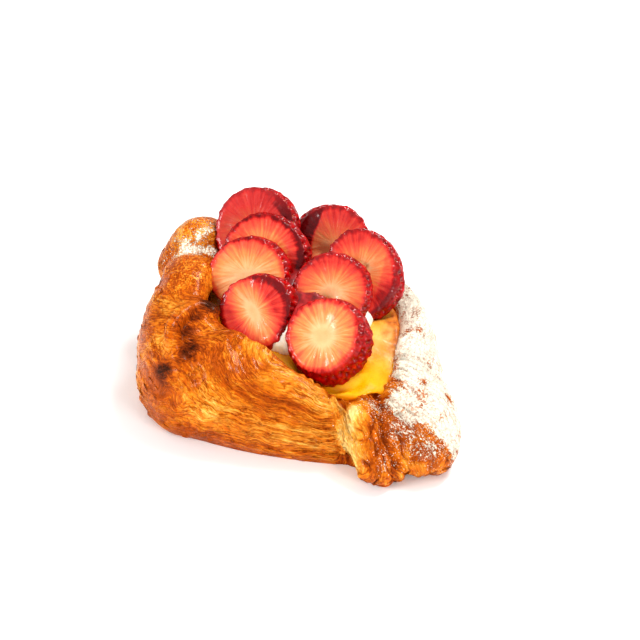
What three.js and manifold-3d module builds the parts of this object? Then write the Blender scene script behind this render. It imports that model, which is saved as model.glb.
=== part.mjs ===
// A strawberry danish: a diamond of laminated dough whose two border strips are crossed at the near right
// corner and at the far left corner, filled with custard and whipped cream, and topped with eight thick
// strawberry slices. Millimetres, +Z up, with the low side of the wall towards -Y. The pieces are laid out
// around a working centre, and the last lines put the origin on the table under the middle of the pastry.
import * as THREE from "three";
import { mergeVertices } from "three/addons/utils/BufferGeometryUtils.js";
import Module from "manifold-3d";

const wasm = await Module();
wasm.setup();

// Driving dimensions.
const WELL_FLOOR = 7; // thickness of the dough under the filling
const WELL_CENTRE = [2, 8]; // where the floor, the base and the filling are closed
const GAP = 0.35; // clearance between neighbouring pieces
const RING_COLUMNS = 72; // steps around the dough's wall
const WALL_ROWS = 14; // steps over the wall, from its foot to the well's floor
const LOBE_RINGS = 12; // steps along a lobe
const LOBE_SIDES = 16; // steps around a lobe
const LOBE_CAP = 0.3; // share of a lobe's length that each of its round ends takes
const FILLING_COLUMNS = 30; // steps around the custard and the cream
const SLICE_SIDES = 22; // steps around a strawberry slice
const SLICE_BUMPS = [0.03, 0.02]; // how uneven its outline is, in two and in three waves
const DENT_SIDES = 14; // steps around the dent that it leaves in what it is pressed into
const DENT_MARGIN = 0.75; // how much wider the dent is, which its coarser outline needs
const MERGE = 1e-4; // points this close are one vertex
const TABLE_SPAN = 400;
const TABLE_CUT = 20; // depth of the block that cuts the dough's underside flat

// The custard's surface is lower at the near side than in the rest of the well, and domes in the middle.
const CUSTARD_NEAR = 19.5;
const CUSTARD_FAR = 28;
const CUSTARD_CLIMB = [-28, 6]; // it climbs between these places along Y
const CUSTARD_DOME = 1;
const CUSTARD_EDGE = 2; // how far down its rounded edge starts

// The cream is an oval mound on the custard that stands higher towards the far side.
const CREAM_CENTRE = [2, 13];
const CREAM_RADII = [26, 23.5];
const CREAM_RISE = 13;
const CREAM_SLOPE = 0.2;

// The dough's wall, station by station, clockwise seen from above, from the middle of the near side: its
// centreline on the table, how thick and how high it stands, and where its crest is, as a share of half the
// thickness (1 is the outer face, -1 the inner one).
const WALL = [
  { at: [3, -30.2], thick: 19.5, high: 25, crest: -0.55 },
  { at: [-14.5, -24], thick: 25, high: 30.5, crest: -0.58 },
  { at: [-29, -17.5], thick: 28, high: 36, crest: -0.55 },
  { at: [-43, -9], thick: 30, high: 39, crest: -0.4 },
  { at: [-47.5, 5], thick: 25.5, high: 41.5, crest: -0.25 },
  { at: [-44.5, 20], thick: 20, high: 43, crest: -0.1 },
  { at: [-42, 34], thick: 18, high: 42, crest: 0 },
  { at: [-32, 44.5], thick: 18, high: 42, crest: 0 },
  { at: [-15, 48], thick: 15, high: 39, crest: 0 },
  { at: [7, 46], thick: 14, high: 37, crest: 0 },
  { at: [28, 36], thick: 14, high: 34, crest: 0 },
  { at: [41, 18], thick: 15, high: 32, crest: 0 },
  { at: [43.5, 0], thick: 14.5, high: 31, crest: -0.1 },
  { at: [42.5, -18], thick: 18, high: 29, crest: -0.2 },
  { at: [34, -31], thick: 18, high: 23, crest: -0.3 },
  { at: [18, -33], thick: 17, high: 21, crest: -0.45 },
];

// The section of the wall: outwards as a share of half its thickness, and up as a share of its height.
const SECTION = [
  [0.82, 0],
  [0.98, 0.12],
  [1, 0.34],
  [0.86, 0.62],
  [0.5, 0.87],
  ["crest", 1],
  [-0.86, 0.93],
  [-1, 0.72],
  [-1.04, "floor"],
];

// Rolls of dough that stand out of the wall, each a round-ended tube through these points with a radius at
// each: the two lobes of the near right crossing, the roll over the far left corner, and the fold that laps
// the left corner.
const LOBES = [
  { through: [[22.5, -24, 13.5], [25.5, -35, 13.5], [28.5, -46, 6.5]], radii: [7.5, 9.8, 8.2] },
  { through: [[41.5, -15, 16], [44.5, -30, 14.5], [45.5, -39.5, 8.5]], radii: [9.5, 12, 11.2] },
  { through: [[-46, 37, 31], [-39.5, 42.5, 35], [-29, 48.5, 32.5]], radii: [9, 10.6, 8] },
  { through: [[-32, 1, 36.5], [-39.5, -3.5, 37], [-43, -10.5, 36], [-43, -18, 30]], radii: [3, 4.6, 5, 3.6] },
];

// How far the slices' cut faces turn to the left and look up, in degrees.
const FACING = { turn: 14, tilt: 41 };
const END_FACING = { turn: 20, tilt: 44 }; // the near end of the right row

// The strawberry slices of each row, from its near end to its far end: the middle of the slice, its radius,
// how wide it is for its height, how thick it is, how far its back is shifted to the right and up, how its
// uneven outline is turned, and its facing where that differs.
const SLICES = {
  left: [
    { at: [-15.6, 3.6, 35.1], round: 13.3, wide: 0.95, thick: 6.4, shift: [1, -0.5], spin: 40 },
    { at: [-18.8, 18.5, 40.5], round: 13.8, wide: 1.02, thick: 6, shift: [1, 0], spin: 150 },
    { at: [-13.4, 27.5, 42.6], round: 14.8, wide: 1.08, thick: 5.8, shift: [1, 0], spin: 250 },
    { at: [-16.7, 40.5, 46], round: 15, wide: 1, thick: 6.6, shift: [2, 0], spin: 320 },
  ],
  right: [
    { at: [10.5, -10.3, 31.8], round: 15, wide: 0.94, thick: 9.6, shift: [4, -3], spin: 10, ...END_FACING },
    { at: [11.9, 9.8, 40.1], round: 13.4, wide: 0.97, thick: 7, shift: [1, 0], spin: 100 },
    { at: [23, 18.7, 40.2], round: 15.8, wide: 0.89, thick: 7.6, shift: [4, -1], spin: 200 },
    { at: [12, 37.9, 40.1], round: 14.2, wide: 0.92, thick: 6.6, shift: [-4, 0], spin: 290 },
  ],
};

// A slice's rings from the cut face to the back: share of its radius, and share of its thickness.
const SLICE_RINGS = [
  [0.5, 0.04],
  [0.9, 0.01],
  [1, 0.08],
  [1.05, 0.32],
  [1.05, 0.62],
  [0.98, 0.9],
  [0.86, 1],
  [0.45, 0.98],
];

const FACE_MIDDLE = [0, 0.06];
const BACK_MIDDLE = [0, 0.96];

// How far out from the middle a filling's rings are, as shares of its outline.
const FILLING_RINGS = [0.96, 0.85, 0.7, 0.5, 0.25];

// A closed surface: a pole, rings of points of equal number, and a pole.
function closedRows(first, rows, last) {
  const points = [first, ...rows.flat(), last];
  const count = rows[0].length;
  const index = [];
  for (let k = 0; k < count; k++) {
    const next = (k + 1) % count;
    index.push(0, 1 + next, 1 + k);
    for (let r = 0; r < rows.length - 1; r++) {
      const a = 1 + r * count + k;
      const b = 1 + r * count + next;
      index.push(a, b, a + count, b, b + count, a + count);
    }
    const base = 1 + (rows.length - 1) * count;
    index.push(base + k, base + next, points.length - 1);
  }
  return new THREE.BufferGeometry().setFromPoints(points).setIndex(index);
}

// The solid inside a closed surface, whichever way its faces point.
function solidOf(geometry) {
  const bare = geometry.clone();
  bare.deleteAttribute("normal");
  bare.deleteAttribute("uv");
  const merged = mergeVertices(bare, MERGE);
  const vertProperties = new Float32Array(merged.attributes.position.array);
  const triVerts = new Uint32Array(merged.index.array);
  const solid = new wasm.Manifold(new wasm.Mesh({ numProp: 3, vertProperties, triVerts }));
  if (solid.volume() >= 0) return solid;
  for (let i = 0; i < triVerts.length; i += 3) {
    triVerts.subarray(i, i + 3).reverse();
  }
  return new wasm.Manifold(new wasm.Mesh({ numProp: 3, vertProperties, triVerts }));
}

function geometryOf(solid) {
  const mesh = solid.getMesh();
  const geometry = new THREE.BufferGeometry();
  geometry.setAttribute("position", new THREE.BufferAttribute(mesh.vertProperties, 3));
  geometry.setIndex(new THREE.BufferAttribute(mesh.triVerts, 1));
  geometry.computeVertexNormals();
  return geometry;
}

const largest = (solid) => solid.decompose().sort((a, b) => b.volume() - a.volume())[0];
const closedCurve = (points) => new THREE.CatmullRomCurve3(points, true, "catmullrom", 0.5);
const wallPath = closedCurve(WALL.map((s) => new THREE.Vector3(...s.at, 0)));
const wallSizes = closedCurve(WALL.map((s) => new THREE.Vector3(s.thick, s.high, s.crest)));

// Where the wall stands at a share t of the way round, which way is outwards there, and its sizes.
function wallAt(t) {
  const tangent = wallPath.getTangent(t);
  const size = wallSizes.getPoint(t);
  return {
    middle: wallPath.getPoint(t),
    outwards: new THREE.Vector3(-tangent.y, tangent.x, 0),
    half: size.x / 2,
    high: size.y,
    crest: size.z,
  };
}

function doughRing() {
  const rows = Array.from({ length: WALL_ROWS + 1 }, () => []);
  for (let k = 0; k < RING_COLUMNS; k++) {
    const { middle, outwards, half, high, crest } = wallAt(k / RING_COLUMNS);
    const profile = new THREE.SplineCurve(
      SECTION.map(([out, up]) => {
        const height = up === "floor" ? WELL_FLOOR : up * high;
        return new THREE.Vector2((out === "crest" ? crest : out) * half, height);
      }),
    );
    rows.forEach((row, r) => {
      const p = profile.getPoint(r / WALL_ROWS);
      row.push(middle.clone().addScaledVector(outwards, p.x).setZ(Math.max(0, p.y)));
    });
  }
  const [x, y] = WELL_CENTRE;
  return solidOf(closedRows(new THREE.Vector3(x, y, 0), rows, new THREE.Vector3(x, y, WELL_FLOOR)));
}

// A bent tube with round ends, grown all over by a margin.
function lobe({ through, radii }, margin = 0) {
  const path = new THREE.CatmullRomCurve3(through.map((p) => new THREE.Vector3(...p)));
  const radius = new THREE.SplineCurve(radii.map((r, i) => new THREE.Vector2(i, r + margin)));
  const side = new THREE.Vector3(0, 0, 1).cross(path.getTangent(0.5)).normalize();
  const rows = [];
  for (let i = 1; i < LOBE_RINGS; i++) {
    const along = ((1 - Math.cos((Math.PI * i) / LOBE_RINGS)) / 2) * (1 + 2 * LOBE_CAP) - LOBE_CAP;
    const share = THREE.MathUtils.clamp(along, 0, 1);
    const past = (along - share) / LOBE_CAP;
    const reach = radius.getPoint(share).y;
    const tangent = path.getTangent(share);
    const middle = path.getPoint(share).addScaledVector(tangent, past * reach);
    const up = tangent.clone().cross(side).normalize();
    const across = up.clone().cross(tangent);
    const width = reach * Math.sqrt(1 - past * past);
    rows.push(
      Array.from({ length: LOBE_SIDES }, (_, k) => {
        const angle = (2 * Math.PI * k) / LOBE_SIDES;
        const point = middle.clone().addScaledVector(across, width * Math.cos(angle));
        return point.addScaledVector(up, width * Math.sin(angle));
      }),
    );
  }
  const start = path.getPoint(0).addScaledVector(path.getTangent(0), -radii[0] - margin);
  const end = path.getPoint(1).addScaledVector(path.getTangent(1), radii.at(-1) + margin);
  return solidOf(closedRows(start, rows, end));
}

// A filling with an outline given by columns, from a flat floor to a top surface with a rounded edge.
function filling([x, y], outline, floor, edge, top) {
  const middle = new THREE.Vector3(x, y, 0);
  const ring = (share, height) =>
    Array.from({ length: FILLING_COLUMNS }, (_, k) => {
      const point = middle.clone().lerp(outline(k / FILLING_COLUMNS), share);
      return point.setZ(height(point));
    });
  const rows = [ring(1, () => floor), ring(1, (p) => top(p, 1) - edge)];
  for (const share of FILLING_RINGS) rows.push(ring(share, (p) => top(p, share)));
  return solidOf(closedRows(middle.clone().setZ(floor), rows, middle.clone().setZ(top(middle, 0))));
}

function insideWall(t) {
  const { middle, outwards, half } = wallAt(t);
  return middle.addScaledVector(outwards, SECTION.at(-1)[0] * half - 2 * GAP);
}

function creamEdge(t) {
  const angle = 2 * Math.PI * t;
  return new THREE.Vector3(
    CREAM_CENTRE[0] + CREAM_RADII[0] * Math.cos(angle),
    CREAM_CENTRE[1] + CREAM_RADII[1] * Math.sin(angle),
    0,
  );
}

function custardTop(p, share) {
  const climb = THREE.MathUtils.smoothstep(p.y, ...CUSTARD_CLIMB);
  return THREE.MathUtils.lerp(CUSTARD_NEAR, CUSTARD_FAR, climb) + CUSTARD_DOME * (1 - share * share);
}

function creamTop(p, share) {
  return custardTop(p, 1) + (CREAM_RISE + CREAM_SLOPE * p.y) * Math.sqrt(1 - share * share);
}

// A thick slice of strawberry: an uneven round outline, a flat cut face, and skin that swells between the
// two cuts, grown all over by a margin.
function slice(spec, sides, margin) {
  const { at, round, wide, thick, shift, spin, turn, tilt } = { ...FACING, ...spec };
  const [left, rise, first] = [turn, tilt, spin].map(THREE.MathUtils.degToRad);
  const level = new THREE.Vector3(-Math.sin(left), -Math.cos(left), 0);
  const facing = level.multiplyScalar(Math.cos(rise)).setZ(Math.sin(rise));
  const across = new THREE.Vector3(Math.cos(left), -Math.sin(left), 0);
  const up = facing.clone().cross(across);
  const point = ([share, down], angle) => {
    const bumps = SLICE_BUMPS[0] * Math.sin(2 * angle + first) + SLICE_BUMPS[1] * Math.sin(3 * angle - first);
    const reach = (round * (1 + bumps) + margin) * share;
    const p = new THREE.Vector3(...at).addScaledVector(facing, (thick + 2 * margin) * (0.5 - down));
    p.addScaledVector(across, reach * wide * Math.cos(angle) + shift[0] * (down - 0.5));
    return p.addScaledVector(up, reach * Math.sin(angle) + shift[1] * (down - 0.5));
  };
  const angles = Array.from({ length: sides }, (_, k) => (2 * Math.PI * k) / sides);
  const rows = SLICE_RINGS.map((ring) => angles.map((angle) => point(ring, angle)));
  return solidOf(closedRows(point(FACE_MIDDLE, 0), rows, point(BACK_MIDDLE, 0)));
}

const dough = LOBES.reduce((all, spec) => all.add(lobe(spec)), doughRing());
const table = new THREE.BoxGeometry(TABLE_SPAN, TABLE_SPAN, TABLE_CUT).translate(0, 0, -TABLE_CUT / 2);
const allSlices = Object.values(SLICES).flat();
const dents = allSlices.map((spec) => slice(spec, DENT_SIDES, DENT_MARGIN));
const clearOfSlices = (solid) => dents.reduce((left, dent) => left.subtract(dent), solid);
const clearOfLobes = (solid) => LOBES.reduce((left, spec) => left.subtract(lobe(spec, GAP)), solid);

const custard = filling(WELL_CENTRE, insideWall, WELL_FLOOR + GAP, CUSTARD_EDGE, custardTop);
const custardRoom = filling(WELL_CENTRE, insideWall, WELL_FLOOR, 0, (p, share) => custardTop(p, share) + GAP);
const mound = filling(CREAM_CENTRE, creamEdge, CUSTARD_NEAR - CUSTARD_EDGE, 0, creamTop);
const cream = mound.subtract(custardRoom);

const pastry = new THREE.Group();
function addPiece(name, solid, colour, roughness) {
  const material = new THREE.MeshStandardMaterial({ color: colour, roughness, metalness: 0 });
  const mesh = new THREE.Mesh(geometryOf(solid), material);
  mesh.name = name;
  pastry.add(mesh);
}

addPiece("pastry_dough", largest(clearOfSlices(dough.subtract(solidOf(table)))), 0xc97a2b, 0.55);
addPiece("custard", largest(clearOfSlices(clearOfLobes(custard))), 0xf6bf2e, 0.35);
addPiece("whipped_cream", largest(clearOfSlices(clearOfLobes(cream))), 0xfbf3dc, 0.6);
for (const [row, slices] of Object.entries(SLICES)) {
  slices.forEach((spec, i) => {
    addPiece(`strawberry_${row}_${i + 1}`, slice(spec, SLICE_SIDES, 0), 0xd8252c, 0.3);
  });
}

const box = new THREE.Box3().setFromObject(pastry);
const middle = box.getCenter(new THREE.Vector3());
pastry.position.set(-middle.x, -middle.y, 0);
export default pastry;
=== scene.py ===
"""A strawberry danish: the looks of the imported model.

The dough's surface is read off its CAD solid column by column, smoothed and given its flaky relief. The fillings
and the strawberry slices are fine copies of their own CAD solids. Everything is in metres, in the model's frame."""

import math

import bpy
import numpy as np
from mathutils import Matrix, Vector
from mathutils.bvhtree import BVHTree


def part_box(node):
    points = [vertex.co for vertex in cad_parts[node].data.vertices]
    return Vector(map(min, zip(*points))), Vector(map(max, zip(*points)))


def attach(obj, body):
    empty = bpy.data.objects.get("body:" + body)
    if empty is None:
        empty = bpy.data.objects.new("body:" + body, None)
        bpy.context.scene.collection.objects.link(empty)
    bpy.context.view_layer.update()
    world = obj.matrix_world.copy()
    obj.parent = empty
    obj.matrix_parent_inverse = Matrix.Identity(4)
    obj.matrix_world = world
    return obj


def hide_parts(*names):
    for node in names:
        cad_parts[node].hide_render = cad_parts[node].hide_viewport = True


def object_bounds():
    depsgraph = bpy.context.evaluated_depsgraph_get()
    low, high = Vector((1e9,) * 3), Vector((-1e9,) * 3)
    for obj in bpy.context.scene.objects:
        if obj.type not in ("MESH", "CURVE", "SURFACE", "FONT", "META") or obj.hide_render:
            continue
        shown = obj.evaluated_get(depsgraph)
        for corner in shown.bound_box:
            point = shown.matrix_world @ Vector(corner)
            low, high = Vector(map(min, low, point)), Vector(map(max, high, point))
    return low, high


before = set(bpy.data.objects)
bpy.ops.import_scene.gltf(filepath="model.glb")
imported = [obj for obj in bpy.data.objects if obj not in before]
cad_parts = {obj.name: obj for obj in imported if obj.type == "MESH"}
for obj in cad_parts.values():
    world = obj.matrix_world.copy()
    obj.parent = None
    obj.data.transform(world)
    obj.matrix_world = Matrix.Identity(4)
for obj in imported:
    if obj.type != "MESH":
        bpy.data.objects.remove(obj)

CAD_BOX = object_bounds()
MM = 0.001
LOW, HIGH = (np.array(corner) for corner in CAD_BOX)
SLICES = sorted(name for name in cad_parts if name.startswith("strawberry"))
SEED = 7

# ---------------- noise and smoothing


def lattice(cell, seed):
    """A repeatable random number from -1 to 1 for each whole-number cell."""
    x, y, z = (cell[..., k].astype(np.int64) for k in range(3))
    h = (x * 374761393 + y * 668265263 + z * 1440662683 + seed * 974634777) & 0xFFFFFFFF
    h = ((h ^ (h >> 13)) * 1274126177) & 0xFFFFFFFF
    return ((h ^ (h >> 16)) & 0xFFFF) / 32767.5 - 1


def noise(p, seed):
    """Smooth noise from -1 to 1 at points (..., 3), with features one unit across."""
    base = np.floor(p)
    f = p - base
    f = f * f * f * (f * (f * 6 - 15) + 10)
    total = 0
    for corner in np.ndindex(2, 2, 2):
        weight = np.prod(np.where(corner, f, 1 - f), axis=-1)
        total = total + weight * lattice(base + np.array(corner), seed)
    return total


def fractal(p, octaves, seed):
    """Noise with finer noise on it, from about -1 to 1."""
    return sum(noise(p * 2**k, seed + k) / 2**k for k in range(octaves)) / (2 - 2 ** (1 - octaves))


def step(value, low, high):
    """0 below low, 1 above high, and smooth between them."""
    t = np.clip((value - low) / (high - low), 0, 1)
    return t * t * (3 - 2 * t)


def smooth(grid, times, axis, wrap):
    """Evens out a grid along one axis; the ends stay where they are unless it wraps."""
    for _ in range(times):
        ahead, behind = np.roll(grid, -1, axis), np.roll(grid, 1, axis)
        mean = (ahead + behind + 2 * grid) / 4
        if not wrap:
            inner = [slice(None)] * grid.ndim
            inner[axis] = slice(1, -1)
            mean_all, mean = mean, grid.copy()
            mean[tuple(inner)] = mean_all[tuple(inner)]
        grid = mean
    return grid


# ---------------- meshes


def new_object(name, points, faces, smooth_faces=True):
    """A mesh object from its points and faces."""
    mesh = bpy.data.meshes.new(name)
    faces = faces.tolist() if isinstance(faces, np.ndarray) else faces
    mesh.from_pydata(np.asarray(points, float).tolist(), [], faces)
    mesh.polygons.foreach_set("use_smooth", [smooth_faces] * len(mesh.polygons))
    mesh.update()
    piece = bpy.data.objects.new(name, mesh)
    bpy.context.scene.collection.objects.link(piece)
    return piece


def add_attribute(mesh, key, values):
    """Gives each point of a mesh a number or a vector, for its material to read."""
    values = np.asarray(values, np.float32)
    kind, field = ("FLOAT", "value") if values.ndim == 1 else ("FLOAT_VECTOR", "vector")
    mesh.attributes.new(key, kind, "POINT").data.foreach_set(field, values.ravel())


def coords(mesh):
    flat = np.empty(len(mesh.vertices) * 3, np.float32)
    mesh.vertices.foreach_get("co", flat)
    return flat.reshape(-1, 3).astype(float)


def normals(mesh):
    flat = np.empty(len(mesh.vertices) * 3, np.float32)
    mesh.vertex_normals.foreach_get("vector", flat)
    return flat.reshape(-1, 3).astype(float)


def place(mesh, points):
    mesh.vertices.foreach_set("co", np.asarray(points, np.float32).ravel())
    mesh.update()


def fine_copy(node, name, voxel, even=4):
    """A copy of a CAD node's solid with a fine even mesh, rounded off a little."""
    piece = bpy.data.objects.new(name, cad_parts[node].data.copy())
    bpy.context.scene.collection.objects.link(piece)
    piece.data.materials.clear()
    remesh = piece.modifiers.new("fine", "REMESH")
    remesh.mode, remesh.voxel_size, remesh.use_smooth_shade = "VOXEL", voxel, True
    evened = piece.modifiers.new("even", "SMOOTH")
    evened.factor, evened.iterations = 0.5, even
    shown = piece.evaluated_get(bpy.context.evaluated_depsgraph_get())
    mesh = bpy.data.meshes.new_from_object(shown)
    piece.modifiers.clear()
    old, piece.data = piece.data, mesh
    bpy.data.meshes.remove(old)
    mesh.name = name
    return piece


def finish_piece(piece, material, slot, *nodes):
    """Gives a piece its material and its body, and hides the CAD nodes that it stands for; the slot is not used."""
    piece.data.materials.append(material)
    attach(piece, "root")
    if nodes:
        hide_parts(*nodes)


# ---------------- the dough's surface

CUSTARD_LOW, CUSTARD_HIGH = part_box("custard")
FLOOR = CUSTARD_LOW.z - 0.35 * MM  # the well's floor
CENTRE = np.array([*((CUSTARD_LOW + CUSTARD_HIGH) / 2).xy, 0])
CORE_HEIGHT = 12 * MM  # the height inside the wall that its section is measured from
KNOB = math.atan2(LOW[1] + 14 * MM - CENTRE[1], HIGH[0] - 20 * MM - CENTRE[0])  # the way to the crossed lobes
KNOB_HALF = math.radians(23)  # half the width of the lobes, seen from the middle
COLUMNS, EVEN_COLUMNS = 520, 720  # the final columns, and the even ones that they are read from
OUTER_ROWS, INNER_ROWS = 125, 45  # from the foot to the crest, and on to the well's floor
RAYS = 260  # for each section
RAY_SWEEP = (math.radians(-60), math.radians(215))  # from under the outer wall over the crest to the well
FOOT_SKIP, FLOOR_SKIP = 0.25 * MM, 0.2 * MM  # hits nearer the table or the well's floor than this are left out
CREST_PASSES, AROUND_PASSES, OVER_PASSES = 60, 26, 22  # how often the crest line and the surface are evened out
LAYER_SPAN = 45  # how many mm of layers lie between the foot and the crest


def solid_tree(node):
    """A CAD solid to cast rays at."""
    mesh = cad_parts[node].data
    return BVHTree.FromPolygons([v.co for v in mesh.vertices], [p.vertices for p in mesh.polygons])


def section(tree, turn):
    """The dough's section at one bearing: its foot, over the crest, to the well's floor."""
    away = Vector((math.cos(turn), math.sin(turn), 0))
    start = Vector((*CENTRE[:2], CORE_HEIGHT))
    inner = tree.ray_cast(start, away)[3]
    outer = (tree.ray_cast(start + away, -away)[0] - start).length
    core = start + away * (inner + outer) / 2
    points = []
    for angle in np.linspace(*RAY_SWEEP, RAYS):
        way = away * math.cos(angle) + Vector((0, 0, math.sin(angle)))
        hit = tree.ray_cast(core, way)[0]
        lowest = FOOT_SKIP if angle < math.pi / 2 else FLOOR + FLOOR_SKIP
        if hit is not None and hit.z > lowest:
            points.append(((hit - start).dot(away), hit.z))
    return np.array([(points[0][0], 0.0), *points, (points[-1][0], FLOOR)])


def along(points):
    """How far along a line of points each one is."""
    return np.concatenate([[0], np.cumsum(np.linalg.norm(np.diff(points, axis=0), axis=1))])


def dough_grid():
    """The dough's smoothed surface: points over (column, row), from the foot to the crest to the floor."""
    tree = solid_tree("pastry_dough")
    turns = np.arange(EVEN_COLUMNS) / EVEN_COLUMNS * 2 * math.pi
    sections = [section(tree, turn) for turn in turns]
    lengths = [along(s) for s in sections]
    crest = np.array([d[s[:, 1].argmax()] for s, d in zip(sections, lengths)])
    crest = smooth(crest, CREST_PASSES, 0, True)
    grid = np.empty((EVEN_COLUMNS, OUTER_ROWS + INNER_ROWS + 1, 2))
    for k, (s, d) in enumerate(zip(sections, lengths)):
        stops = np.concatenate([
            np.linspace(0, crest[k], OUTER_ROWS, endpoint=False),
            np.linspace(crest[k], d[-1], INNER_ROWS + 1),
        ])
        grid[k] = np.stack([np.interp(stops, d, s[:, 0]), np.interp(stops, d, s[:, 1])], -1)
    grid = smooth(smooth(grid, AROUND_PASSES, 0, True), OVER_PASSES, 1, False)
    grid, turns = crowd_columns(grid, turns)
    points = np.empty(grid.shape[:2] + (3,))
    points[..., 0] = CENTRE[0] + grid[..., 0] * np.cos(turns)[:, None]
    points[..., 1] = CENTRE[1] + grid[..., 0] * np.sin(turns)[:, None]
    points[..., 2] = grid[..., 1]
    return points, turns


def crowd_columns(grid, turns):
    """The grid with new columns, which stand closer together at the finely wrinkled knob, and their bearings."""
    density = 1 + 2.2 * step(KNOB_HALF * 1.6 - np.abs(turn_from(turns, KNOB)), 0, 0.12)
    share = np.concatenate([[0], np.cumsum(density)]) / density.sum()
    chosen = np.interp(np.arange(COLUMNS) / COLUMNS, share, np.arange(EVEN_COLUMNS + 1))
    low = np.floor(chosen).astype(int)
    part = (chosen - low)[:, None, None]
    grid = grid[low % EVEN_COLUMNS] * (1 - part) + grid[(low + 1) % EVEN_COLUMNS] * part
    return grid, chosen / EVEN_COLUMNS * 2 * math.pi


def turn_from(turns, bearing):
    """How far bearings are from one bearing, from -pi to pi."""
    return (turns - bearing + math.pi) % (2 * math.pi) - math.pi


def grid_normals(points):
    """Each grid point's way out of the dough."""
    around = np.roll(points, -1, 0) - np.roll(points, 1, 0)
    over = np.gradient(points, axis=1)
    normal = np.cross(over, around)
    normal /= np.linalg.norm(normal, axis=-1, keepdims=True) + 1e-12
    return normal if (normal[:, OUTER_ROWS, 2] > 0).mean() > 0.5 else -normal


def grid_faces(columns, rows):
    """Quads of a grid that wraps in its columns."""
    column, row = np.meshgrid(np.arange(columns), np.arange(rows - 1), indexing="ij")
    ahead = (column + 1) % columns
    corners = [column * rows + row, column * rows + row + 1, ahead * rows + row + 1, ahead * rows + row]
    return np.stack(corners, -1).reshape(-1, 4)


def in_dough(*shares):
    """Points given as shares of the dough's own box, from its near left foot."""
    low, high = (np.array(corner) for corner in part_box("pastry_dough"))
    return low + np.array(shares) * (high - low)


# Lines on the dough, from shares of its box: the knob is where the strips cross at the near right, the fold is at
# the left corner, and the groove is before the roll at the far left.
FOLD = in_dough((0.27, 0.53, 0.9), (0.21, 0.46, 0.9), (0.165, 0.385, 0.88), (0.17, 0.33, 0.74), (0.2, 0.28, 0.6))
FOLD_BACK = in_dough((0.27, 0.57, 0.93), (0.2, 0.52, 0.95), (0.13, 0.44, 0.93), (0.12, 0.36, 0.82))
GROOVE = in_dough((0.145, 0.765, 0.92), (0.18, 0.77, 0.93), (0.25, 0.84, 0.9))
KNOB_CREASE = in_dough(
    (0.745, 0.3, 0.44), (0.765, 0.17, 0.5), (0.765, 0.1, 0.42), (0.795, 0.035, 0.26), (0.8, 0, 0)
)
KNOB_EDGE = in_dough(
    (0.66, 0.25, 0.44), (0.632, 0.18, 0.42), (0.62, 0.14, 0.32), (0.632, 0.12, 0.16), (0.65, 0.095, 0)
)
KNOB_FLANK = in_dough((0.68, 0.178, 0.47), (0.665, 0.12, 0.34), (0.668, 0.08, 0.24), (0.672, 0.055, 0.16))
KNOB_FRONT = in_dough((0.82, 0.064, 0.24), (0.874, 0.028, 0.15), (0.93, 0.036, 0.14))
RIM_BAND = in_dough(
    (0.36, 0.385, 0.72), (0.4, 0.353, 0.688), (0.455, 0.296, 0.622), (0.516, 0.245, 0.556), (0.6, 0.203, 0.48)
)
LINES = (  # a line, how wide it is and how far it stands out (mm)
    (FOLD, 2.2, -2.8),
    (FOLD_BACK, 2.8, 2.5),
    (KNOB_CREASE, 2.2, -2.6),
    (GROOVE, 3.2, -1.8),
    (KNOB_EDGE, 2.6, -1.3),
    (KNOB_FLANK, 4.2, 1.8),
    (KNOB_FRONT, 4.5, 0.3),
)
PUSHES = (  # a place as shares of the dough's box, how far the swelling reaches and how far it stands out (mm)
    (0.72, 0.02, 0.08, 8, 2.6), (0.08, 0.23, 0.12, 14, 1.4), (0.13, 0.86, 0.95, 11, 1.8),
    (0.06, 0.6, 0.8, 12, 1.2), (0.25, 0.5, 0.86, 6, 3.0), (0.235, 0.59, 0.9, 8, 4.0), (0.23, 0.68, 0.9, 8, 4.0),
    (0.24, 0.76, 0.88, 7, 3.0), (0.2, 0.9, 0.97, 9, 1.8), (0.05, 0.74, 0.7, 9, 2.2), (0.09, 0.7, 0.87, 7, 2.2),
    (0.3, 0.46, 0.8, 5, 2.2), (0.35, 0.42, 0.75, 5, 2.4), (0.4, 0.38, 0.7, 5, 2.4), (0.45, 0.35, 0.66, 5, 2.0),
    (0.8, 0.29, 0.55, 7, 2.0), (0.82, 0.4, 0.66, 9, 3.0), (0.99, 0.09, 0.06, 8, -1.2),
    (0.86, 0.02, 0.08, 8, 2.4), (0.71, 0.26, 0.52, 7, -1.0), (1, 0.14, 0.28, 8, 1.0),
)

# Spots on the dough: a place as shares of its box, and how far the spot reaches (mm).
# Burnt spots along the fold, where the dark is partly painted shade in the fold's groove.
BURNT_AND_SHADE = (
    (0.25, 0.51, 0.9, 4.5), (0.2, 0.45, 0.9, 3.0), (0.165, 0.385, 0.86, 4.5), (0.175, 0.335, 0.76, 4.5),
    (0.1, 0.315, 0.6, 4.0),
)
BURNT_AND_SHADE_LINE = in_dough(*(spot[:3] for spot in BURNT_AND_SHADE[:4]))
PALE = (
    (0.27, 0.21, 0.44, 8.0), (0.07, 0.4, 0.73, 9.0), (0.13, 0.86, 0.95, 9.0), (0.156, 0.58, 0.92, 3.5),
    (0.33, 0.36, 0.74, 5.0),
)
# Painted shade: darker spots low on the left wall, and low on the lobes and by their crease.
SHADE_SPOTS = (
    (0.09, 0.28, 0.33, 11.0), (0.16, 0.2, 0.04, 13.0), (0.73, 0.03, 0.2, 2.5), (0.89, 0.06, 0.25, 6.0),
    (0.82, 0.11, 0.4, 5.0), (0.95, 0.1, 0.2, 6.0),
)
DUSTED = (
    (0.75, 0.22, 0.5, 6.0), (0.79, 0.12, 0.42, 5.5), (0.82, 0.2, 0.5, 8.0), (0.89, 0.06, 0.28, 6.5),
)


def from_line(points, line):
    """How far points are from a line of straight parts."""
    near = np.full(points.shape[:-1], 1.0)
    for a, b in zip(line, line[1:]):
        t = np.clip((points - a) @ (b - a) / ((b - a) @ (b - a)), 0, 1)
        near = np.minimum(near, np.linalg.norm(points - (a + t[..., None] * (b - a)), axis=-1))
    return near


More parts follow.
